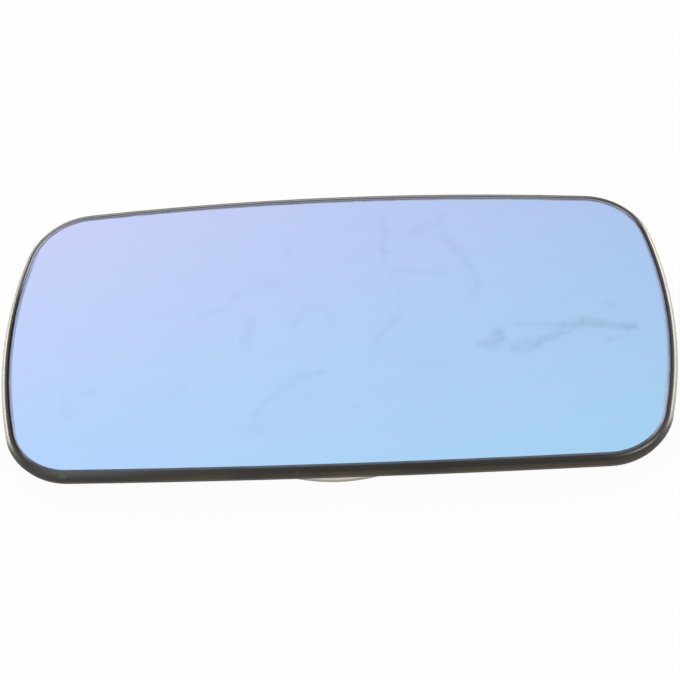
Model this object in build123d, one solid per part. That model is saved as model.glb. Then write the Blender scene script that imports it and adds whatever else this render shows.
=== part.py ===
from build123d import *
from math import acos, asin, atan, atan2, cos, degrees, radians, sin, tan
import os

# Door mirror glass: a convex glass in a one-piece holder, with a heating film behind the glass
# and a turning bayonet ring on the back. It lies on the ring, face up.
# X runs along the glass, Y up its height, Z out of its face.
# The origin is on the ring's axis, at its rear face.

# Driving dimensions, in millimetres and degrees

# Glass
view_width = 169.5  # mirror face inside the ground seam
view_height = 81.9
end_arc_radius = 115.75  # bow of the short edges
long_arc_radius = 1414.75  # bow of the long edges
corner_radius = 15.45
curve_radius = 1400.0  # the face is part of a ball of this size
glass_thickness = 1.8
seam_width = 0.7  # ground seam round the front of the glass
seam_fall = 0.35

# Heating film, bonded between the glass and the holder
film_thickness = 0.35
film_inset = 1.5  # from the edge of the mirror face
bond_line = 0.05  # adhesive on each side of the film

# Plate and rim of the holder
plate_thickness = 1.0
plate_root = 0.2  # how far the plate's edge is sunk in the rim
edge_gap = 0.1  # round the glass
rim_width = 2.75  # from the mirror face to the outermost edge
rim_height = 0.25  # crest above the glass
crest_width = 0.25
rim_round = 1.9  # front rounding, from the crest to the waist
rim_waist = 1.45  # depth of the widest point
rim_step = 0.2  # rim's rear edge behind the plate
rim_foot = 0.4  # how far the rear edge reaches inside the edge of the mirror face
rim_draft = 0.4  # lean of the rim's outer wall
bevel_fall = 0.4  # fall of the rim's rear face towards that wall
bevel_run = 1.6

# Collar for the hub of the mirror drive
hub_bore_radius = 33.0
collar_wall = 1.8
notch_depth = 3.0  # seats for the lugs of the hub

# Lock ring
ring_play = 0.3  # clearance to the holder all round
ring_wall = 1.8
flange_radius = 41.9
flange_thickness = 2.4
flange_bevel = 0.5
tooth_band = 4.6  # height of the toothed wall behind the flange
tooth_height = 1.9
tooth_count = 36
tooth_root_width = 3.4
tooth_tip_width = 2.4
lug_count = 3
lug_angle = 24.0
lug_thickness = 2.0
lug_reach = 1.7  # inwards from the ring's bore
ramp_rise = 0.8  # lead-in on each lug
ramp_run = 6.0
turn_angle = 30.0  # from open to locked
tab_width = 6.0  # stop tab, between two hooks
tab_reach = 3.0

# Bearing land, snap hooks and ribs on the holder's back
land_width = 2.6
land_rise = 2.15  # from the land to the plate's back, on the axis
hook_width = 8.0
hook_thickness = 1.8
hook_grip = 1.0  # overlap behind the flange
hook_nose = 1.6
hook_lead = 1.0  # sloped part of the nose
rib_thickness = 1.4
rib_height = 2.2
rib_inset = 7.0  # from the edge of the mirror face
rib_clear = 2.0  # room round the hooks
rib_spacing = 17.0  # between the lengthwise ribs
cross_rib_inset = 14.75  # from the ends of the mirror face

# Heater terminals
blade_width = 6.3
blade_thickness = 0.8
blade_length = 7.0
blade_taper = 1.0
blade_hole_radius = 0.8
blade_hole_inset = 2.6
bend_radius = 0.4
foot_length = 5.0
terminal_inset = 23.75  # from the end of the mirror face
terminal_spacing = 17.0
window_gap = 0.8

# Depths below the front of the glass, along the ball's radius
film_depth = glass_thickness + bond_line
seat_depth = film_depth + film_thickness + bond_line
root_depth = seat_depth + plate_thickness / 2
back_depth = seat_depth + plate_thickness

# Rim, outwards from the mirror face
rim_start = seam_width + edge_gap
crest_end = rim_start + crest_width
wall_end = rim_width - rim_draft
rim_depth = back_depth + rim_step

# Places along the glass
cross_rib_x = view_width / 2 - cross_rib_inset
terminal_x = view_width / 2 - terminal_inset

# Radii about the ring's axis
collar_radius = hub_bore_radius + collar_wall
ring_bore_radius = collar_radius + ring_play
tooth_root_radius = ring_bore_radius + ring_wall
tooth_tip_radius = tooth_root_radius + tooth_height
hook_face_radius = flange_radius + ring_play
hook_back_radius = hook_face_radius + hook_thickness
hook_tip_radius = flange_radius - hook_grip
rib_clear_radius = hook_back_radius + rib_clear

# Heights above the ring's rear face
ring_height = tooth_band + flange_thickness
land_z = ring_height + ring_play
apex_z = land_z + land_rise + back_depth
ball_z = apex_z - curve_radius
collar_end_z = lug_thickness + ring_play
hook_catch_z = tooth_band - ring_play
hook_end_z = hook_catch_z - hook_nose

# Angles
tab_angle = 180 - turn_angle / 2
stop_width = (hook_width + tab_width) / 2 + ring_play
hook_angle = turn_angle / 2 + degrees(asin(stop_width / hook_face_radius))

# Edges of the mirror face, as circles on the ball: the size of each is an angle at the ball's centre,
# and its axis leans from Z away from the edge
end_size = degrees(atan(end_arc_radius / curve_radius))
long_size = degrees(atan(long_arc_radius / curve_radius))
corner_size = degrees(atan(corner_radius / curve_radius))
end_lean = end_size - degrees(asin(view_width / 2 / curve_radius))
long_lean = long_size - degrees(asin(view_height / 2 / curve_radius))

margin = 2.0  # how far cutting shapes pass the solid


def outline(offset):
    """Outline of the mirror face, grown by offset: four arcs with rounded corners."""
    end_centre = view_width / 2 - end_arc_radius
    long_centre = view_height / 2 - long_arc_radius
    end_circle = Circle(end_arc_radius + offset)
    long_circle = Circle(long_arc_radius + offset)
    shape = Pos(end_centre, 0) * Rot(0, 0, 180) * end_circle
    shape &= Pos(-end_centre, 0) * end_circle
    shape &= Pos(0, long_centre) * long_circle
    shape &= Pos(0, -long_centre) * long_circle
    return fillet(shape.vertices(), corner_radius + offset)


def column(sketch, low, high):
    """The flat sketch raised from low to high."""
    return Pos(0, 0, low) * extrude(sketch, high - low)


def ball(depth):
    """Ball whose skin lies depth below the front of the glass, with its poles far from the glass."""
    return Pos(0, 0, ball_z) * Sphere(curve_radius - depth, rotation=(90, 0, 0))


def layer(sketch, top_depth, bottom_depth):
    """Curved sheet between two depths below the front of the glass."""
    return (column(sketch, 0, apex_z + margin) & ball(top_depth)) - ball(bottom_depth)


def standing(sketch, low):
    """Feature on the holder's back, from low up into the middle of the plate."""
    return column(sketch, low, apex_z) & ball(root_depth)


def pie(inner, outer, low, high, width_angle):
    """Piece of a round wall, centred on +X."""
    height = high - low
    align = (Align.NONE, Align.NONE, Align.MIN)
    wedge = Rot(0, 0, -width_angle / 2) * Cylinder(outer, height, arc_size=width_angle, align=align)
    return Pos(0, 0, low) * (wedge - Cylinder(inner, height, align=(Align.CENTER, Align.CENTER, Align.MIN)))


def triangle_angle(opposite, first, second):
    """Angle of a triangle on the ball, from its three sides, in degrees."""
    far, one, two = radians(opposite), radians(first), radians(second)
    return degrees(acos((cos(far) - cos(one) * cos(two)) / (sin(one) * sin(two))))


def right_angle_share(far_leg, near_leg):
    """Angle at the near leg's end of a right-angled triangle on the ball, in degrees."""
    return degrees(atan2(tan(radians(far_leg)), sin(radians(near_leg))))


def turned(section, size, turn):
    """Section turned about Z at a circle of that size on the ball. X of the section points outwards."""
    lean = radians(size)
    outward = Vector(cos(lean), 0, -sin(lean))
    edge = Vector(sin(lean), 0, cos(lean)) * curve_radius
    return revolve(Plane(edge, outward, (0, -1, 0)) * section, Axis.Z, turn)


def carry_round(section):
    """Solids of a section carried round the mirror face: X runs outwards from its edge, Y out of the face."""
    between = degrees(acos(cos(radians(end_lean)) * cos(radians(long_lean))))
    end_reach = end_size - corner_size
    long_reach = long_size - corner_size
    end_turn = triangle_angle(long_reach, between, end_reach) - right_angle_share(long_lean, end_lean)
    long_turn = triangle_angle(end_reach, between, long_reach) - right_angle_share(end_lean, long_lean)
    corner_turn = triangle_angle(between, end_reach, long_reach)
    solids = []
    for side in (0, 180):
        end_axis = Pos(0, 0, ball_z) * Rot(0, 0, side) * Rot(0, -end_lean, 0)
        long_axis = Pos(0, 0, ball_z) * Rot(0, 0, side + 90) * Rot(0, -long_lean, 0)
        solids.append(end_axis * Rot(0, 0, -end_turn) * turned(section, end_size, 2 * end_turn))
        solids.append(long_axis * Rot(0, 0, -long_turn) * turned(section, long_size, 2 * long_turn))
        for way in (1, -1):
            corner_axis = end_axis * Rot(0, 0, way * end_turn) * Rot(0, end_reach, 0)
            solids.append(corner_axis * turned(section, corner_size, way * corner_turn))
    return solids


def sheet(reach, top_depth, bottom_depth):
    """Curved sheet, out to reach from the edge of the mirror face, with its edge square to its faces."""
    blank = layer(outline(reach + margin / 2), top_depth, bottom_depth)
    height = bottom_depth - top_depth + 2 * margin
    waste = Pos(reach + margin, -(top_depth + bottom_depth) / 2) * Rectangle(2 * margin, height)
    return blank - carry_round(waste)


def make_glass():
    """Convex glass with a seam ground round the front of its edge."""
    blank = layer(outline(seam_width + margin / 2), 0, glass_thickness)
    rise = margin * seam_fall / seam_width
    low = -glass_thickness - margin
    waste = Polyline(
        (-margin, rise),
        (seam_width, -seam_fall),
        (seam_width, low),
        (seam_width + margin, low),
        (seam_width + margin, rise),
        close=True,
    )
    return blank - carry_round(make_face(waste))


def make_film():
    return sheet(-film_inset, film_depth, film_depth + film_thickness)


def rim_section():
    """Rim with a flat crest beside the glass, a round front and a drafted wall behind it."""
    corners = Polyline(
        (crest_end, rim_height),
        (rim_start, rim_height),
        (rim_start, -root_depth),
        (-rim_foot, -root_depth),
        (-rim_foot, -rim_depth),
        (wall_end - bevel_run, -rim_depth),
        (wall_end, bevel_fall - rim_depth),
        (rim_width, -rim_waist),
    )
    front_round = RadiusArc(corners @ 1, corners @ 0, -rim_round)
    return make_face([corners, front_round])


def make_tray():
    """Curved plate with the rim carried round it."""
    return sheet(rim_start + plate_root, seat_depth, back_depth) + carry_round(rim_section())


def make_collar():
    """Round seat for the hub, notched at its end, with the land that the ring turns on."""
    collar = standing(Circle(collar_radius) - Circle(hub_bore_radius), collar_end_z)
    notch = pie(hub_bore_radius - margin, collar_radius + margin, collar_end_z - margin,
                collar_end_z + notch_depth, lug_angle)
    for turn in PolarLocations(0, lug_count):
        collar -= turn * notch
    land_sketch = Circle(ring_bore_radius + land_width) - Circle(collar_radius - collar_wall / 2)
    return collar + standing(land_sketch, land_z)


def hook_places():
    return [Rot(0, 0, side + turn) for side in (0, 180) for turn in (hook_angle, -hook_angle)]


def make_hook():
    """Snap hook that reaches behind the ring's flange."""
    profile = Polyline(
        (hook_face_radius, apex_z),
        (hook_face_radius, hook_catch_z),
        (hook_tip_radius, hook_catch_z),
        (hook_tip_radius, hook_end_z + hook_lead),
        (hook_face_radius, hook_end_z),
        (hook_back_radius, hook_end_z),
        (hook_back_radius, apex_z),
        close=True,
    )
    return extrude(make_face(Plane.XZ * profile), hook_width / 2, both=True)


def hook_window():
    """Opening in the plate over the hook's nose."""
    size = hook_face_radius - hook_tip_radius
    return column(Pos(hook_tip_radius + size / 2, 0) * Rectangle(size, hook_width), land_z, apex_z)


def make_ribs():
    """Edge rib, lengthwise ribs and cross ribs of even height under the curved plate."""
    edge_outer = outline(-rib_inset)
    straight = Sketch()
    for row in (-1, 0, 1):
        straight += Pos(0, row * rib_spacing) * Rectangle(view_width, rib_thickness)
    for side in (-1, 1):
        straight += Pos(side * cross_rib_x, 0) * Rectangle(rib_thickness, view_height)
    edge_rib = edge_outer - outline(-rib_inset - rib_thickness)
    ribs = edge_rib + (straight & edge_outer) - Circle(rib_clear_radius)
    return layer(ribs, root_depth, back_depth + rib_height)


def terminal_place(side):
    """Place on the ball under the film, with Z along the ball's radius."""
    lean = degrees(asin(terminal_x / curve_radius))
    tip = degrees(asin(side * terminal_spacing / 2 / curve_radius))
    return Pos(0, 0, ball_z) * Rot(-tip, lean, 0) * Pos(0, 0, curve_radius - seat_depth)


def make_terminal():
    """Bent push-on blade: a flat foot under the film and a drilled, tapered blade."""
    profile = Polyline(
        (-foot_length, 0),
        (0, 0),
        (0, -blade_length),
        (-blade_thickness, -blade_length),
        (-blade_thickness, -blade_thickness),
        (-foot_length, -blade_thickness),
        close=True,
    )
    blade = extrude(make_face(Plane.XZ * profile), blade_width / 2, both=True)
    across = blade.edges().filter_by(Axis.Y)
    inner_bend = across.sort_by_distance((-blade_thickness, 0, -blade_thickness))[0]
    blade = fillet(inner_bend, bend_radius)
    outer_bend = blade.edges().filter_by(Axis.Y).sort_by_distance((0, 0, 0))[0]
    blade = fillet(outer_bend, bend_radius + blade_thickness)
    tip_edges = blade.faces().sort_by(Axis.Z)[0].edges().filter_by(Axis.X)
    blade = chamfer(tip_edges, blade_taper)
    hole_place = Pos(0, 0, blade_hole_inset - blade_length) * Rot(0, 90, 0)
    return blade - hole_place * Cylinder(blade_hole_radius, 2 * blade_thickness + margin)


def terminal_window():
    """Opening in the plate round a terminal's foot."""
    length = foot_length + 2 * window_gap
    width = blade_width + 2 * window_gap
    return Pos(-foot_length / 2, 0, 0) * Box(length, width, 2 * (plate_thickness + margin))


def make_holder():
    holder = make_tray()
    for place in hook_places():
        holder -= place * hook_window()
    for side in (1, -1):
        holder -= terminal_place(side) * terminal_window()
    holder += make_collar()
    holder += make_ribs()
    for place in hook_places():
        holder += place * make_hook() & ball(root_depth)
    return holder


def make_lug():
    """Bayonet lug with a lead-in ramp on the edge that goes first."""
    lug = pie(ring_bore_radius - lug_reach, ring_bore_radius + ring_wall / 2, 0, lug_thickness, lug_angle)
    slope = ramp_rise / ramp_run
    ramp = Polyline(
        (-ramp_run, lug_thickness),
        (margin, lug_thickness - slope * (ramp_run + margin)),
        (margin, lug_thickness + margin),
        close=True,
    )
    cutter = extrude(make_face(Plane.YZ * ramp), ring_bore_radius + ring_wall)
    return lug - Rot(0, 0, lug_angle / 2) * cutter


def make_lock_ring():
    tooth = make_face(Polyline(
        (ring_bore_radius + ring_wall / 2, -tooth_root_width / 2),
        (tooth_tip_radius + margin, -tooth_tip_width / 2),
        (tooth_tip_radius + margin, tooth_tip_width / 2),
        (ring_bore_radius + ring_wall / 2, tooth_root_width / 2),
        close=True,
    ))
    band = Circle(tooth_root_radius)
    for turn in PolarLocations(0, tooth_count):
        band += turn * tooth & Circle(tooth_tip_radius)
    band -= Circle(ring_bore_radius)
    flange = column(Circle(flange_radius), tooth_band, ring_height)
    flange = chamfer(flange.edges().filter_by(GeomType.CIRCLE).sort_by(Axis.Z)[-1], flange_bevel)
    tab_length = 2 * tab_reach
    tab_sketch = Pos(flange_radius, 0) * Rectangle(tab_length, tab_width)
    flange += Rot(0, 0, tab_angle) * column(tab_sketch, tooth_band, ring_height)
    flange -= column(Circle(ring_bore_radius), 0, ring_height + margin)
    ring = column(band, 0, ring_height) + flange
    for turn in PolarLocations(0, lug_count):
        ring += turn * Rot(0, 0, -turn_angle) * make_lug()
    return ring


pieces = {
    "mirror_glass": make_glass(),
    "heater_film": make_film(),
    "glass_holder": make_holder(),
    "lock_ring": make_lock_ring(),
    "heater_terminal_upper": terminal_place(1) * make_terminal(),
    "heater_terminal_lower": terminal_place(-1) * make_terminal(),
}

os.makedirs("parts", exist_ok=True)
for name, piece in pieces.items():
    export_step(piece, f"parts/{name}.step")
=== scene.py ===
"""Looks of a convex door mirror glass in its black holder, lying face up on its lock ring."""

import math

import bpy
from mathutils import Matrix, Vector

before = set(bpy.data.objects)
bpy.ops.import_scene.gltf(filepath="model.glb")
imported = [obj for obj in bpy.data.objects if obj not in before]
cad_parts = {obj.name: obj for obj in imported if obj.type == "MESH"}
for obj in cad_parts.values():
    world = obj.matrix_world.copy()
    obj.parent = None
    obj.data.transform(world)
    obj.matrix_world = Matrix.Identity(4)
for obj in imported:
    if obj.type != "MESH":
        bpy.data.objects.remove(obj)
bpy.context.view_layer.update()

MM = 0.001
WHITE = (1.0, 1.0, 1.0, 1.0)
FLOAT = "NodeSocketFloat"
VECTOR = "NodeSocketVector"

# Camera, at the photo's viewing angle
camera_azimuth = math.radians(4.89)
camera_elevation = math.radians(55.33)
camera_roll = math.radians(-6.12)
camera_distance = 447.8 * MM
aim_point = Vector((1.15, -4.71, 12.7)) * MM
image_size = 680
focal_pixels = 1746.4
sensor_width = 36.0

# Floor and surroundings
floor_half_size = 4.0
floor_height = -0.05 * MM
floor_colour = (0.9, 0.9, 0.9, 1.0)
floor_glow = 0.95
floor_bounce = 0.5
ambient_strength = 0.9
background_strength = 1.0

# Soft boxes, in metres
warm_light = (1.0, 0.95, 0.84)
plain_light = (1.0, 1.0, 1.0)
side_box_radiance = 16.0
right_box_size = (0.75, 0.36)
right_box_place = Vector((0.78, 0.44, 0.2))
left_box_size = (0.495, 0.36)
left_box_place = Vector((-0.843, 0.329, 0.2))
left_far_box_size = (0.255, 0.36)
left_far_box_place = Vector((-0.659, 0.656, 0.2))
left_far_box_radiance = 4.5
left_box_facing = Vector((0.78, -0.44, -0.2))
back_box_size = (1.1, 0.4)
back_box_radiance = 5.0
back_box_place = Vector((-0.25, 1.2, 0.4))
corner_box_size = (0.12, 0.3)
corner_box_radiance = 20.0
corner_box_place = Vector((0.6, -0.05, 0.89))
low_box_size = (0.3, 0.09)
low_box_radiance = 3.5
low_box_place = Vector((0.235, 0.02, 0.0005))
upwards = Vector((0.0, 0.0, 1.0))

# Mirror face, part of a ball
view_width = 169.5 * MM
view_height = 81.9 * MM
end_arc_radius = 115.75 * MM
curve_radius = 1400.0 * MM
apex_height = 12.7 * MM
ball_height = apex_height - curve_radius

# Colours of the coating at the corners of the face, and of a greyer band painted beside the seam as shade at
# the glass's edge
lavender = (0.606, 0.645, 0.955, 1.0)
periwinkle = (0.415, 0.556, 0.851, 1.0)
sky_blue = (0.466, 0.668, 0.985, 1.0)
pale_azure = (0.372, 0.638, 0.872, 1.0)
left_edge_shade = (0.33, 0.375, 0.60, 1.0)
right_edge_shade = (0.38, 0.49, 0.75, 1.0)
edge_shade_width = 0.5 * MM
edge_shade_fade = (view_height / 4, view_height / 2.4)

# Ground seam, painted by the way it faces: painted reflection makes it light at the ends and at the lower
# right and pale along the top, painted shade makes it dark along the bottom
lit_end_seam = (0.44, 0.50, 0.72, 1.0)
lit_lower_right_seam = (0.60, 0.72, 0.93, 1.0)
shaded_lower_seam = (0.11, 0.14, 0.21, 1.0)
lit_upper_seam = (0.60, 0.64, 0.80, 1.0)
seam_roughness = 0.45
seam_slope = (0.93, 0.98)
seam_end_lean = (0.3, 0.44)
seam_upper_lean = (-0.1, 0.2)
lit_lower_right_foot = (0.05, 0.16)
lit_lower_right_top = (0.15, 0.4)
lit_lower_right_start = (0.6, 0.9)

# Painted shade deep in the seam at the left end, beside the rim's inner wall
seam_shade = (0.07, 0.068, 0.08, 1.0)
seam_shade_depth = (0.12 * MM, 0.26 * MM)
seam_shade_top = (5.0 * MM, 12.0 * MM)
seam_shade_middle = (0.4, 0.6)
seam_shade_at_right = 0.1
seam_shade_focus = 3.0

# Smears wiped over the glass, in millimetres: the points of each, its half width and its strength
smear_tint = (0.03, 0.04, 0.07, 1.0)
smear_opacity = 0.2
smear_roughness = 0.12
smear_sway = 7.0 * MM
sway_middle = (0.5, 0.5, 0.5)
smears = (
    (((47, -2), (57, -1.4)), 2.2, 0.35),
    (((57, -1.4), (66, -1), (76, -2)), 2.4, 0.85),
    (((74.5, -2), (76.3, -1.9)), 2.6, 1.0),
    (((39, -6.7), (41.5, -5)), 3.4, 1.0),
    (((45.5, -8.5), (51, -6.6)), 2.5, 0.85),
    (((51, -6.6), (60, -3)), 2.3, 0.65),
    (((69, -7), (73.5, -5.3)), 1.8, 0.4),
    (((69.5, 5), (73.5, 2.8)), 1.5, 0.25),
    (((12.3, 34), (13.6, 23)), 1.7, 0.4),
    (((13.6, 23), (16, 2)), 1.4, 0.18),
    (((16, 2), (10, -5)), 2.6, 0.3),
    (((16, 17), (28.5, 16)), 1.8, 0.22),
    (((21, 30), (29, 34)), 2.6, 0.3),
    (((30, 28), (33.5, 22), (36, 16.5), (36.5, 9)), 2.5, 0.32),
    (((-35, 4.5), (-29, 7.5), (-24.5, 11.3)), 2.0, 0.28),
    (((-23, 3), (-22.3, -6)), 2.2, 0.28),
    (((-21.5, 15), (-14.5, 13.3)), 4.4, 0.2),
    (((-11.3, 0.3), (-7.7, 5.8), (-4, 6.3), (-1.4, 1.7)), 1.8, 0.22),
    (((-3.5, -14), (-10, -16.5), (-16, -21), (-19, -25.5)), 1.9, 0.32),
    (((-19, -25.5), (-19.5, -31), (-24, -31)), 1.6, 0.18),
    (((-70, -17), (-67.5, -23)), 2.2, 0.22),
    (((-65, -17.5), (-62, -17)), 2.2, 0.26),
    (((-41.5, -19.5), (-39.5, -18)), 3.2, 0.18),
    (((-6.4, -21.6), (-6, -20.4)), 1.4, 0.22),
    (((5, -25.4), (5.4, -24.6)), 1.2, 0.24),
    (((22, -13.5), (27.5, -14.2)), 4.0, 0.2),
    (((-15, 31), (-14, 22.5)), 2.0, 0.15),
)

# Black moulding, with a warm reflection painted on the outside of its near wall
bare_black = (0.0050, 0.0042, 0.0028, 1.0)
worn_black = (0.0110, 0.0088, 0.0056, 1.0)
wall_lean = (0.4, 0.96)
wall_dullness = 0.2
warm_wall_reflection = (0.041, 0.027, 0.010, 1.0)
near_wall_lean = (-0.98, -0.55)
near_wall_rear = (-0.6, -0.2)

# Pale grey painted light in the groove at the glass, along the top and at the upper left, lightening its
# shade
groove_light = (0.36, 0.37, 0.42, 1.0)
groove_depth = (8.0 * MM, 9.0 * MM)
groove_inward = (-0.4, -0.15)
groove_top_lean = (-0.75, -0.35)
groove_left_lean = (0.3, 0.7)
groove_left_height = (13.0 * MM, 24.0 * MM)

# A painted reflection lightening the left of the near rim's front, and the dark gloss on the rest of it
near_rim = (-30.0 * MM, -20.0 * MM)
rim_sheen = (0.041, 0.042, 0.038, 1.0)
rim_sheen_lean = (0.55, 1.0)
rim_sheen_start = -79.0 * MM
rim_sheen_full = -68.0 * MM
rim_sheen_end = -36.0 * MM
dark_gloss_lean = (0.5, 0.8)
dark_gloss_full = 0.0
dark_gloss_end = (64.0 * MM, 72.0 * MM)
plain_specular = 0.5
dark_specular_drop = 0.17

# Light specks on the front of the rim, and a greenish painted highlight near the lower left corner (the
# first), given as the smears are
scuff_and_glint_grey = (0.10, 0.115, 0.085, 1.0)
scuff_and_glint_lean = (0.0, 0.3)
scuffs_and_glint = (
    (((-68.8, -41.1), (-67.4, -41.2)), 0.65, 0.36),
    (((-9.6, -43), (-9.3, -43)), 0.4, 0.3),
    (((-3.25, -43.2), (-3.15, -43.2)), 0.35, 0.2),
)

# Lock ring, with painted shade along the rear edge of its flange, where it faces the floor
dark_ivory = (0.67, 0.605, 0.53, 1.0)
light_ivory = (0.75, 0.685, 0.60, 1.0)
flange_shade = (0.255, 0.228, 0.195, 1.0)
flange_shade_strength = 0.85
flange_shade_height = (5.2 * MM, 6.3 * MM)
flange_edge = (41.6 * MM, 41.8 * MM)

# Ejector pin marks on the backs of the mouldings, in millimetres
holder_pins = (
    (-58, 25.5), (-58, 8.5), (-58, -8.5), (-58, -25.5), (56, 25.5), (56, -25.5),
    (16, 16), (-16, 16), (-16, -16), (16, -16),
)
holder_pin_radius = 2.0 * MM
holder_pin_gloss = -0.15
ring_pins = ((18.3, 31.7), (-18.3, 31.7), (36.6, 0), (-36.6, 0), (18.3, -31.7), (-18.3, -31.7))
ring_pin_radius = 0.7 * MM
ring_pin_gloss = -0.1
pin_depth = 0.08 * MM
pin_strength = 0.7
pin_edge = 0.12 * MM
rear_lean = (-0.95, -0.8)

# Heating film and terminals
film_black = (0.035, 0.035, 0.037, 1.0)
film_track = (0.16, 0.16, 0.165, 1.0)
track_edge = (0.45, 0.55)
dark_tin = (0.56, 0.54, 0.50, 1.0)
light_tin = (0.72, 0.70, 0.66, 1.0)


def put(socket, value):
    """A plain value goes on the socket itself, and another node's output is linked to it."""
    if isinstance(value, bpy.types.NodeSocket):
        socket.id_data.links.new(value, socket)
    else:
        socket.default_value = value


def add(tree, kind, inputs=None, **settings):
    node = tree.nodes.new(kind)
    for name, value in settings.items():
        setattr(node, name, value)
    for key, value in (inputs or {}).items():
        put(node.inputs[key], value)
    return node


def calc(tree, operation, *values, clamp=False):
    node = add(tree, "ShaderNodeMath", operation=operation, use_clamp=clamp)
    for socket, value in zip(node.inputs, values):
        put(socket, value)
    return node.outputs["Value"]


def product(tree, first, *others):
    for other in others:
        first = calc(tree, "MULTIPLY", first, other)
    return first


def vector_node(tree, operation, vectors):
    node = add(tree, "ShaderNodeVectorMath", operation=operation)
    for socket, value in zip(node.inputs, vectors):
        put(socket, value)
    return node


def vector_calc(tree, operation, *vectors):
    """Vector arithmetic that gives a vector."""
    return vector_node(tree, operation, vectors).outputs["Vector"]


def vector_measure(tree, operation, *vectors):
    """Vector arithmetic that gives a number."""
    return vector_node(tree, operation, vectors).outputs["Value"]


def level_place(tree, place):
    """The place as seen from above."""
    return vector_calc(tree, "MULTIPLY", place, (1.0, 1.0, 0.0))


def ramp(tree, value, low, high, out_low=0.0, out_high=1.0):
    """A smooth step from one value to another."""
    inputs = {"Value": value, "From Min": low, "From Max": high, "To Min": out_low, "To Max": out_high}
    return add(tree, "ShaderNodeMapRange", inputs, interpolation_type="SMOOTHSTEP").outputs["Result"]


def fall(tree, value, low, high):
    """A smooth step down from one to nought."""
    return ramp(tree, value, low, high, out_low=1.0, out_high=0.0)


def share(tree, value, low, high):
    """How far a value is from one limit to the other."""
    inputs = {"Value": value, "From Min": low, "From Max": high}
    return add(tree, "ShaderNodeMapRange", inputs).outputs["Result"]


def mix(tree, factor, first, second, blend="MIX"):
    node = add(tree, "ShaderNodeMix", data_type="RGBA", blend_type=blend)
    put(node.inputs[0], factor)
    put(node.inputs[6], first)
    put(node.inputs[7], second)
    return node.outputs[2]


def noise(tree, place, scale, detail, roughness=0.5, output="Fac"):
    inputs = {"Vector": place, "Scale": scale, "Detail": detail, "Roughness": roughness}
    return add(tree, "ShaderNodeTexNoise", inputs).outputs[output]


def surface_points(tree):
    """The place and the normal of a surface, each whole and by its axes."""
    given = add(tree, "ShaderNodeTexCoord").outputs
    place = given["Object"]
    facing = given["Normal"]
    spot = add(tree, "ShaderNodeSeparateXYZ", {"Vector": place}).outputs
    lean = add(tree, "ShaderNodeSeparateXYZ", {"Vector": facing}).outputs
    return place, spot, facing, lean


def object_place(tree):
    return add(tree, "ShaderNodeTexCoord").outputs["Object"]


def new_finish(name):
    """A new material, its node tree and the inputs of its shader."""
    material = bpy.data.materials.new(name)
    material.use_nodes = True
    tree = material.node_tree
    tree.nodes.clear()
    shader = add(tree, "ShaderNodeBsdfPrincipled")
    add(tree, "ShaderNodeOutputMaterial", {"Surface": shader.outputs["BSDF"]})
    return material, tree, shader.inputs


def new_group(name, inputs, outputs):
    """A shader group with named sockets, and its two end nodes."""
    group = bpy.data.node_groups.new(name, "ShaderNodeTree")
    for socket, kind in inputs.items():
        group.interface.new_socket(socket, in_out="INPUT", socket_type=kind)
    for socket, kind in outputs.items():
        group.interface.new_socket(socket, in_out="OUTPUT", socket_type=kind)
    start = group.nodes.new("NodeGroupInput")
    end = group.nodes.new("NodeGroupOutput")
    return group, start.outputs, end.inputs


def use_group(tree, group, **inputs):
    node = tree.nodes.new("ShaderNodeGroup")
    node.node_tree = group
    for name, value in inputs.items():
        put(node.inputs[name], value)
    return node.outputs


def make_moulded_grain():
    """The fine matt grain of a moulding, and the slow change of its gloss."""
    group, given, result = new_group(
        "moulded_grain",
        {"Place": VECTOR, "Grain": FLOAT, "Gloss": FLOAT, "Spread": FLOAT},
        {"Height": FLOAT, "Roughness": FLOAT},
    )
    put(result["Height"], noise(group, given["Place"], given["Grain"], detail=3.0, roughness=0.6))
    cloud = noise(group, given["Place"], scale=60.0, detail=3.0)
    swing = calc(group, "MULTIPLY_ADD", cloud, 2.0, -1.0)
    put(result["Roughness"], calc(group, "MULTIPLY_ADD", swing, given["Spread"], given["Gloss"]))
    return group


def make_streak():
    """One wiped streak, from one point to another, as a soft mask."""
    group, given, result = new_group(
        "streak",
        {"Place": VECTOR, "Start": VECTOR, "End": VECTOR, "Width": FLOAT, "Strength": FLOAT},
        {"Mask": FLOAT},
    )
    run = vector_calc(group, "SUBTRACT", given["End"], given["Start"])
    offset = vector_calc(group, "SUBTRACT", given["Place"], given["Start"])
    run_square = vector_measure(group, "DOT_PRODUCT", run, run)
    along = calc(group, "DIVIDE", vector_measure(group, "DOT_PRODUCT", offset, run), run_square, clamp=True)
    nearest = add(group, "ShaderNodeVectorMath", {0: run, "Scale": along}, operation="SCALE")
    gap = vector_measure(group, "DISTANCE", offset, nearest.outputs["Vector"])
    put(result["Mask"], product(group, fall(group, gap, 0.0, given["Width"]), given["Strength"]))
    return group


def make_pin_mark():
    """The round, shallow mark of one ejector pin."""
    group, given, result = new_group(
        "pin_mark",
        {"Place": VECTOR, "Centre": VECTOR, "Radius": FLOAT},
        {"Mask": FLOAT},
    )
    reach = vector_measure(group, "DISTANCE", given["Place"], given["Centre"])
    gap = calc(group, "SUBTRACT", reach, given["Radius"])
    put(result["Mask"], fall(group, gap, -pin_edge, pin_edge))
    return group


moulded_grain = make_moulded_grain()
streak = make_streak()
pin_mark = make_pin_mark()


def pin_marks(tree, level, lean, centres, radius):
    """All the pin marks on the rear faces of a moulding."""
    total = 0.0
    for x, y in centres:
        found = use_group(tree, pin_mark, Place=level, Centre=(x * MM, y * MM, 0.0), Radius=radius)
        total = calc(tree, "MAXIMUM", found["Mask"], total)
    return product(tree, total, fall(tree, lean["Z"], *rear_lean))


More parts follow.
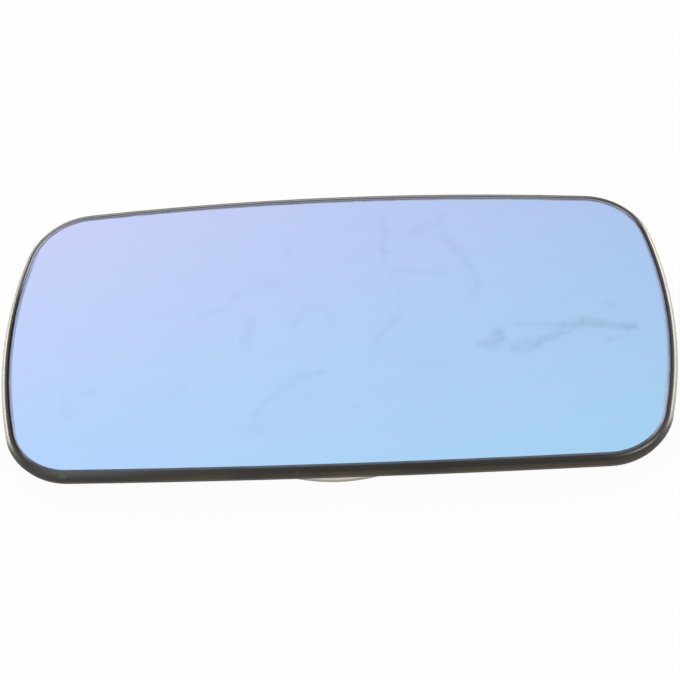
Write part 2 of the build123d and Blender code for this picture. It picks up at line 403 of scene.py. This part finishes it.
def pressed_in(tree, pins, grain):
    """The normal of a grained surface with the pin marks sunk into it."""
    grained = add(tree, "ShaderNodeBump", grain).outputs["Normal"]
    inputs = {"Strength": pin_strength, "Distance": pin_depth, "Height": pins, "Normal": grained}
    return add(tree, "ShaderNodeBump", inputs, invert=True).outputs["Normal"]


def strongest(tree, level, lines):
    """The strongest of some streaks at each place."""
    total = 0.0
    for points, width, strength in lines:
        for first, second in zip(points, points[1:]):
            found = use_group(
                tree, streak, Place=level, Start=(first[0] * MM, first[1] * MM, 0.0),
                End=(second[0] * MM, second[1] * MM, 0.0), Width=width * MM, Strength=strength,
            )
            total = calc(tree, "MAXIMUM", found["Mask"], total)
    return total


def smear_mask(tree, place):
    """All the smears together, a little wavy and uneven, as dirt that was wiped over."""
    sway = noise(tree, place, scale=130.0, detail=4.0, output="Color")
    sway = vector_calc(tree, "SUBTRACT", sway, sway_middle)
    wavy = vector_calc(tree, "MULTIPLY_ADD", sway, (smear_sway, smear_sway, 0.0), level_place(tree, place))
    cloud = noise(tree, place, scale=300.0, detail=4.0, roughness=0.6)
    patch = ramp(tree, cloud, low=0.34, high=0.66, out_low=0.45, out_high=1.0)
    return product(tree, strongest(tree, wavy, smears), patch)


def edge_shade_mask(tree, spot):
    """One along the two end arcs of the face, where a greyer band is painted beside the seam as shade at the
    glass's edge.
    """
    beyond = calc(tree, "SUBTRACT", calc(tree, "ABSOLUTE", spot["X"]), view_width / 2 - end_arc_radius)
    across = product(tree, spot["Y"], spot["Y"])
    reach = calc(tree, "SQRT", calc(tree, "MULTIPLY_ADD", beyond, beyond, across))
    line = ramp(tree, reach, end_arc_radius - edge_shade_width, end_arc_radius - edge_shade_width / 2)
    return product(tree, line, fall(tree, calc(tree, "ABSOLUTE", spot["Y"]), *edge_shade_fade))


def seam_mask(tree, ball_offset, facing):
    """One where the surface leans away from the ball, which is on the ground seam and the edge."""
    out = vector_calc(tree, "NORMALIZE", ball_offset)
    return fall(tree, vector_measure(tree, "DOT_PRODUCT", out, facing), *seam_slope)


def seam_colour(tree, place, spot, lean, along, rise, ball_offset):
    """The ground seam's colour, painted by the way that it faces as reflection and shade, with painted shade
    deep at the left end.
    """
    # Painted reflection and shade: dark along the bottom, pale along the top, light at the ends and at the
    # lower right
    ground = mix(tree, ramp(tree, lean["Y"], *seam_upper_lean), shaded_lower_seam, lit_upper_seam)
    endwise = ramp(tree, calc(tree, "ABSOLUTE", lean["X"]), *seam_end_lean)
    lit_lower_right = product(
        tree,
        ramp(tree, rise, *lit_lower_right_foot),
        fall(tree, rise, *lit_lower_right_top),
        ramp(tree, along, *lit_lower_right_start),
    )
    ground = mix(tree, endwise, ground, mix(tree, lit_lower_right, lit_end_seam, lit_lower_right_seam))
    depth = calc(tree, "SUBTRACT", curve_radius, vector_measure(tree, "LENGTH", ball_offset))
    # Painted shade, darkest deep in the seam at the left end
    painted_shade = product(
        tree,
        ramp(tree, depth, *seam_shade_depth),
        calc(tree, "POWER", endwise, seam_shade_focus),
        ramp(tree, along, *seam_shade_middle, out_low=1.0, out_high=seam_shade_at_right),
        fall(tree, spot["Y"], *seam_shade_top),
    )
    ground = mix(tree, painted_shade, ground, seam_shade)
    cloud = noise(tree, place, scale=240.0, detail=3.0)
    shade = ramp(tree, cloud, low=0.35, high=0.65, out_low=0.8, out_high=1.0)
    return mix(tree, 1.0, ground, shade, blend="MULTIPLY")


def make_blue_mirror():
    """Blue coating that goes from lavender to azure, with smears and a ground seam."""
    material, tree, shader = new_finish("blue_mirror")
    place, spot, facing, lean = surface_points(tree)
    along = share(tree, spot["X"], -view_width / 2, view_width / 2)
    rise = share(tree, spot["Y"], -view_height / 2, view_height / 2)
    lower = mix(tree, along, sky_blue, pale_azure)
    upper = mix(tree, along, lavender, periwinkle)
    colour = mix(tree, rise, lower, upper)
    dirt = smear_mask(tree, place)
    colour = mix(tree, product(tree, dirt, smear_opacity), colour, smear_tint)
    # A greyer band along the end arcs: painted shade at the glass's edge beside the seam
    edge_shade = mix(tree, along, left_edge_shade, right_edge_shade)
    colour = mix(tree, edge_shade_mask(tree, spot), colour, edge_shade)
    ball_offset = vector_calc(tree, "SUBTRACT", place, (0.0, 0.0, ball_height))
    seam = seam_mask(tree, ball_offset, facing)
    ground = seam_colour(tree, place, spot, lean, along, rise, ball_offset)
    put(shader["Base Color"], mix(tree, seam, colour, ground))
    put(shader["Metallic"], calc(tree, "SUBTRACT", 1.0, seam))
    cloud = noise(tree, place, scale=25.0, detail=3.0)
    haze = ramp(tree, cloud, low=0.35, high=0.7, out_low=0.02, out_high=0.04)
    soft = calc(tree, "MULTIPLY_ADD", dirt, smear_roughness, haze)
    put(shader["Roughness"], calc(tree, "MULTIPLY_ADD", seam, seam_roughness, soft))
    return material


def groove_mask(tree, level, spot, facing, lean):
    """One on the rim's inner wall, along the top and at the upper left."""
    outward = vector_calc(tree, "NORMALIZE", level)
    inward = fall(tree, vector_measure(tree, "DOT_PRODUCT", outward, facing), *groove_inward)
    top = fall(tree, lean["Y"], *groove_top_lean)
    left = product(tree, ramp(tree, lean["X"], *groove_left_lean), ramp(tree, spot["Y"], *groove_left_height))
    return product(tree, inward, calc(tree, "MAXIMUM", top, left), ramp(tree, spot["Z"], *groove_depth))


def make_black_plastic():
    """Satin black moulding, with painted reflections on its near wall and on the left of its near rim, and
    painted light in the groove at the glass.
    """
    material, tree, shader = new_finish("black_plastic")
    place, spot, facing, lean = surface_points(tree)
    level = level_place(tree, place)
    surface = use_group(tree, moulded_grain, Place=place, Grain=2600.0, Gloss=0.25, Spread=0.03)
    cloud = noise(tree, place, scale=70.0, detail=4.0, roughness=0.6)
    patch = ramp(tree, cloud, low=0.3, high=0.7, out_low=0.2, out_high=1.0)
    colour = mix(tree, patch, bare_black, worn_black)
    near_wall = product(tree, fall(tree, lean["Y"], *near_wall_lean), ramp(tree, lean["Z"], *near_wall_rear))
    # Warm brown painted on the near wall as a reflection of warm light from the floor
    colour = mix(tree, product(tree, near_wall, patch), colour, warm_wall_reflection)
    near = fall(tree, spot["Y"], *near_rim)
    # Painted reflection: the left of the near rim's front is lightened
    lit_rim = product(
        tree,
        near,
        ramp(tree, lean["Z"], *rim_sheen_lean),
        ramp(tree, spot["X"], rim_sheen_start, rim_sheen_full),
        fall(tree, spot["X"], rim_sheen_full, rim_sheen_end),
    )
    colour = mix(tree, lit_rim, colour, rim_sheen)
    # Light specks, and a painted highlight near the lower left corner
    scuffed_or_glinting = product(tree, strongest(tree, level, scuffs_and_glint), ramp(tree, lean["Z"], *scuff_and_glint_lean))
    colour = mix(tree, scuffed_or_glinting, colour, scuff_and_glint_grey)
    # Painted light: pale grey on the rim's inner wall, lightening the groove's shade
    colour = mix(tree, groove_mask(tree, level, spot, facing, lean), colour, groove_light)
    put(shader["Base Color"], colour)
    darkened = product(
        tree,
        near,
        ramp(tree, lean["Z"], *dark_gloss_lean),
        ramp(tree, spot["X"], rim_sheen_end, dark_gloss_full),
        fall(tree, spot["X"], *dark_gloss_end),
    )
    specular = calc(tree, "MULTIPLY_ADD", darkened, -dark_specular_drop, plain_specular)
    put(shader["Specular IOR Level"], specular)
    wall = fall(tree, lean["Z"], *wall_lean)
    dull = calc(tree, "MULTIPLY_ADD", wall, wall_dullness, surface["Roughness"])
    dull = calc(tree, "MULTIPLY_ADD", near_wall, wall_dullness, dull)
    pins = pin_marks(tree, level, lean, holder_pins, holder_pin_radius)
    put(shader["Roughness"], calc(tree, "MULTIPLY_ADD", pins, holder_pin_gloss, dull))
    grain = {"Strength": 0.04, "Distance": 0.04 * MM, "Height": surface["Height"]}
    put(shader["Normal"], pressed_in(tree, pins, grain))
    return material


def make_natural_plastic():
    """Uncoloured ivory moulding, with painted shade along the rear edge of the flange."""
    material, tree, shader = new_finish("natural_plastic")
    place, spot, _, lean = surface_points(tree)
    level = level_place(tree, place)
    surface = use_group(tree, moulded_grain, Place=place, Grain=1500.0, Gloss=0.42, Spread=0.06)
    colour = mix(tree, noise(tree, place, scale=45.0, detail=3.0), dark_ivory, light_ivory)
    # Painted shade on the lower part of the flange's outer wall, which faces the floor
    painted_shade = product(
        tree,
        fall(tree, spot["Z"], *flange_shade_height),
        flange_shade_strength,
        ramp(tree, vector_measure(tree, "LENGTH", level), *flange_edge),
    )
    put(shader["Base Color"], mix(tree, painted_shade, colour, flange_shade))
    pins = pin_marks(tree, level, lean, ring_pins, ring_pin_radius)
    put(shader["Roughness"], calc(tree, "MULTIPLY_ADD", pins, ring_pin_gloss, surface["Roughness"]))
    grain = {"Strength": 0.08, "Distance": 0.05 * MM, "Height": surface["Height"]}
    put(shader["Normal"], pressed_in(tree, pins, grain))
    return material


def make_heater_film():
    """Dark sheet with printed tracks along it."""
    material, tree, shader = new_finish("heater_film")
    inputs = {"Vector": object_place(tree), "Scale": 90.0}
    tracks = add(tree, "ShaderNodeTexWave", inputs, bands_direction="Y").outputs["Fac"]
    put(shader["Base Color"], mix(tree, ramp(tree, tracks, *track_edge), film_black, film_track))
    put(shader["Roughness"], ramp(tree, tracks, *track_edge, out_low=0.5, out_high=0.3))
    return material


def make_tinned_brass():
    """Dull, cloudy tin plating."""
    material, tree, shader = new_finish("tinned_brass")
    cloud = noise(tree, object_place(tree), scale=500.0, detail=4.0)
    put(shader["Base Color"], mix(tree, cloud, dark_tin, light_tin))
    put(shader["Metallic"], 1.0)
    put(shader["Roughness"], share(tree, cloud, low=-1.6, high=2.2))
    return material


def dress(node, material):
    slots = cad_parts[node].data.materials
    slots.clear()
    slots.append(material)


def seen_directly(tree):
    """One for the rays that show a thing, and nought for those that only carry its light."""
    path = add(tree, "ShaderNodeLightPath").outputs
    shown = calc(tree, "ADD", path["Is Camera Ray"], path["Is Glossy Ray"])
    return calc(tree, "ADD", shown, path["Is Transmission Ray"], clamp=True)


def make_floor():
    """Pale floor that glows, keeps the part's shadow, and is clear from below."""
    mesh = bpy.data.meshes.new("floor")
    half = floor_half_size
    corners = [(-half, -half, 0), (half, -half, 0), (half, half, 0), (-half, half, 0)]
    mesh.from_pydata(corners, [], [(0, 1, 2, 3)])
    floor = bpy.data.objects.new("floor", mesh)
    floor.location.z = floor_height
    bpy.context.scene.collection.objects.link(floor)
    material = bpy.data.materials.new("pale_floor")
    material.use_nodes = True
    tree = material.node_tree
    tree.nodes.clear()
    matt = add(tree, "ShaderNodeBsdfDiffuse", {"Color": floor_colour})
    glow = add(tree, "ShaderNodeEmission", {"Color": WHITE, "Strength": background_strength})
    amount = calc(tree, "MULTIPLY_ADD", seen_directly(tree), floor_glow - floor_bounce, floor_bounce)
    inputs = {0: amount, 1: matt.outputs["BSDF"], 2: glow.outputs["Emission"]}
    top = add(tree, "ShaderNodeMixShader", inputs)
    clear = add(tree, "ShaderNodeBsdfTransparent")
    behind = add(tree, "ShaderNodeNewGeometry").outputs["Backfacing"]
    both = add(tree, "ShaderNodeMixShader", {0: behind, 1: top.outputs["Shader"], 2: clear.outputs["BSDF"]})
    add(tree, "ShaderNodeOutputMaterial", {"Surface": both.outputs["Shader"]})
    mesh.materials.append(material)


def make_world():
    world = bpy.data.worlds.new("studio")
    world.use_nodes = True
    tree = world.node_tree
    tree.nodes.clear()
    extra = background_strength - ambient_strength
    strength = calc(tree, "MULTIPLY_ADD", seen_directly(tree), extra, ambient_strength)
    light = add(tree, "ShaderNodeBackground", {"Color": WHITE, "Strength": strength})
    add(tree, "ShaderNodeOutputWorld", {"Surface": light.outputs["Background"]})
    bpy.context.scene.world = world


def make_soft_box(name, place, facing, size, radiance, colour):
    """A lamp for the black holder alone, screened off from the rest.
    Its power follows from how bright it looks."""
    lamp = bpy.data.lights.new(name, "AREA")
    lamp.shape = "RECTANGLE"
    lamp.size = size[0]
    lamp.size_y = size[1]
    lamp.energy = radiance * math.pi * size[0] * size[1]
    lamp.color = colour
    box = bpy.data.objects.new(name, lamp)
    bpy.context.scene.collection.objects.link(box)
    box.location = place
    box.rotation_euler = facing.to_track_quat("-Z", "Y").to_euler()
    box.visible_camera = False
    box.light_linking.receiver_collection = boxed_pieces


def make_soft_boxes():
    """Boxes at both sides, behind, at one upper corner, and low beside both ends."""
    make_soft_box(
        "right_box", right_box_place, -right_box_place, right_box_size,
        side_box_radiance, warm_light,
    )
    make_soft_box(
        "left_box", left_box_place, left_box_facing, left_box_size,
        side_box_radiance, warm_light,
    )
    make_soft_box(
        "left_far_box", left_far_box_place, left_box_facing, left_far_box_size,
        left_far_box_radiance, warm_light,
    )
    for side, name in ((-1, "left_low_box"), (1, "right_low_box")):
        place = Vector((side * low_box_place.x, low_box_place.y, low_box_place.z))
        make_soft_box(name, place, upwards, low_box_size, low_box_radiance, warm_light)
    make_soft_box(
        "back_box", back_box_place, -back_box_place, back_box_size,
        back_box_radiance, plain_light,
    )
    make_soft_box(
        "corner_box", corner_box_place, -corner_box_place, corner_box_size,
        corner_box_radiance, plain_light,
    )


def make_camera():
    flat = math.cos(camera_elevation)
    away = Vector((
        math.sin(camera_azimuth) * flat,
        -math.cos(camera_azimuth) * flat,
        math.sin(camera_elevation),
    ))
    level = Vector((math.cos(camera_azimuth), math.sin(camera_azimuth), 0))
    rise = away.cross(level)
    right = level * math.cos(camera_roll) + rise * math.sin(camera_roll)
    up = rise * math.cos(camera_roll) - level * math.sin(camera_roll)
    data = bpy.data.cameras.new("photo_camera")
    data.sensor_width = sensor_width
    data.lens = focal_pixels * sensor_width / image_size
    camera = bpy.data.objects.new("photo_camera", data)
    bpy.context.scene.collection.objects.link(camera)
    rotation = Matrix((right, up, away)).transposed().to_4x4()
    camera.matrix_world = Matrix.Translation(aim_point + away * camera_distance) @ rotation
    bpy.context.scene.camera = camera


dress("mirror_glass", make_blue_mirror())
dress("glass_holder", make_black_plastic())
dress("lock_ring", make_natural_plastic())
dress("heater_film", make_heater_film())
tinned_brass = make_tinned_brass()
dress("heater_terminal_upper", tinned_brass)
dress("heater_terminal_lower", tinned_brass)

make_floor()
make_world()
boxed_pieces = bpy.data.collections.new("boxed_pieces")
boxed_pieces.objects.link(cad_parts["glass_holder"])
make_soft_boxes()
make_camera()
bpy.context.scene.view_settings.view_transform = "Standard"
